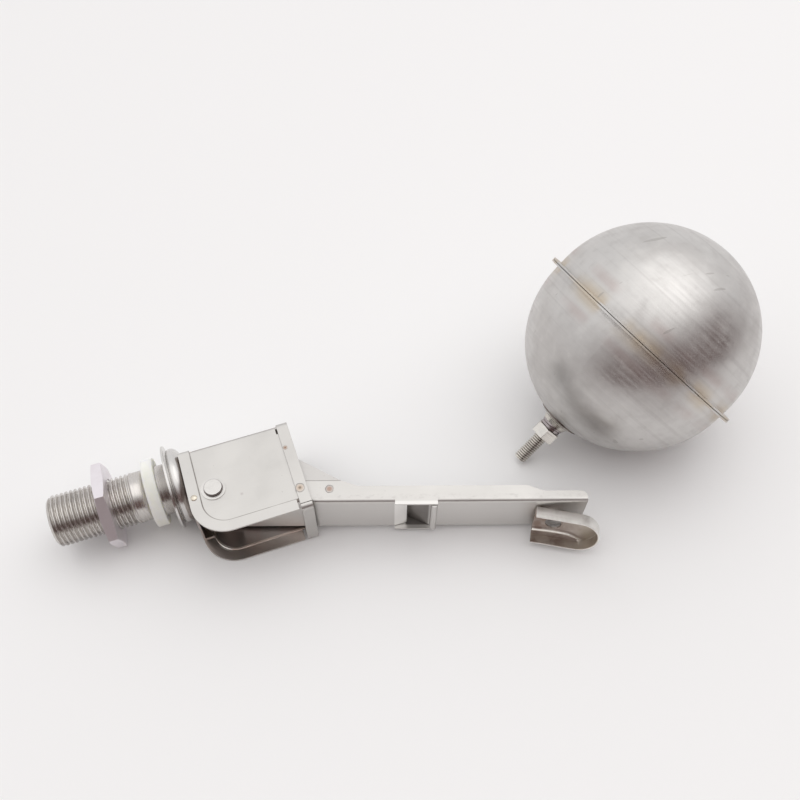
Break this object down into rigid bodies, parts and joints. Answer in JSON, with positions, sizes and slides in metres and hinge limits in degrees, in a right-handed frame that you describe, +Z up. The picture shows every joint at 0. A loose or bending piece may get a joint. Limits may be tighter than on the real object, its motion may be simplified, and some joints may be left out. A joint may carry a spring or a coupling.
{
  "type": "float valve",
  "caption": "Stainless float valve with a threaded inlet pipe, sheet housing, pivoting channel arm and a ball float on a threaded stud, unscrewed and laid beside it.",
  "frame": {"origin": "centre of the pipe's inlet end, on the pipe axis", "axes": "+X along the pipe axis into the valve, +Z up from the table it lies on, +Y towards the housing's closed back; the pivot axis leans about 4 degrees from +Z because the valve rests on its flange rim, lock nut and end frame"},
  "size_m": [0.2945, 0.1123, 0.0938],
  "materials": {
    "polished_steel": "bright machined stainless steel",
    "satin_steel": "satin rolled stainless sheet with faint grain",
    "flange_steel": "polished pressed stainless steel",
    "nut_steel": "pale satin cast metal",
    "pin_steel": "turned stainless steel",
    "ball_steel": "brushed drawn stainless with heat tint by the seam",
    "seal_silicone": "translucent milky silicone",
    "valve_rubber": "black nitrile rubber",
    "seat_brass": "turned brass"
  },
  "bodies": {
    "valve_body": {"inlet_pipe": "polished_steel", "mounting_flange": "flange_steel", "body_cap": "flange_steel", "housing_shell": "satin_steel", "end_wall": "satin_steel", "end_wall_rivets": "pin_steel", "end_frame": "satin_steel", "pivot_pin": "pin_steel", "pin_washers": "pin_steel", "pivot_spacers": "pin_steel", "valve_seat": "seat_brass"},
    "lock_nut": {"lock_nut": "nut_steel"},
    "seal_gasket": {"seal_gasket": "seal_silicone"},
    "arm": {"arm_channel": "satin_steel", "inner_lever": "satin_steel", "push_pin": "pin_steel", "float_clip": "satin_steel"},
    "plunger": {"plunger": "seat_brass", "seal_disc": "valve_rubber"},
    "float": {"ball_stud_half": "ball_steel", "ball_outer_half": "ball_steel", "ball_seam": "ball_steel", "stud_boss": "polished_steel", "float_stud": "polished_steel", "flat_washer": "polished_steel", "spring_washer": "polished_steel"},
    "stud_nut": {"stud_nut": "polished_steel"}
  },
  "joints": [
    {"name": "arm_pivot", "type": "hinge", "parent": "valve_body", "child": "arm", "pos_m": [0.064, -0.01396, -0.00098], "axis": [0, -0.0702, 0.9975], "range_deg": [-3, 18.7]},
    {"name": "plunger_slide", "type": "slide", "parent": "valve_body", "child": "plunger", "axis": [1, 0, 0], "range_m": [-0.0045, 0.00075]},
    {"name": "lock_nut_travel", "type": "slide", "parent": "valve_body", "child": "lock_nut", "axis": [1, 0, 0], "range_m": [-0.0245, 0.0085]},
    {"name": "gasket_slide", "type": "slide", "parent": "valve_body", "child": "seal_gasket", "axis": [1, 0, 0], "range_m": [-0.012, 0.0042]},
    {"name": "float_lift", "type": "slide", "parent": "arm", "child": "float", "axis": [0, 0, 1], "range_m": [0, 0.1]},
    {"name": "stud_nut_travel", "type": "slide", "parent": "float", "child": "stud_nut", "axis": [-0.7681, -0.1759, -0.6157], "range_m": [0, 0.0105]}
  ],
  "couplings": [
    {"joint": "plunger_slide", "follows": "arm_pivot", "m_per_rad": -0.013753}
  ]
}
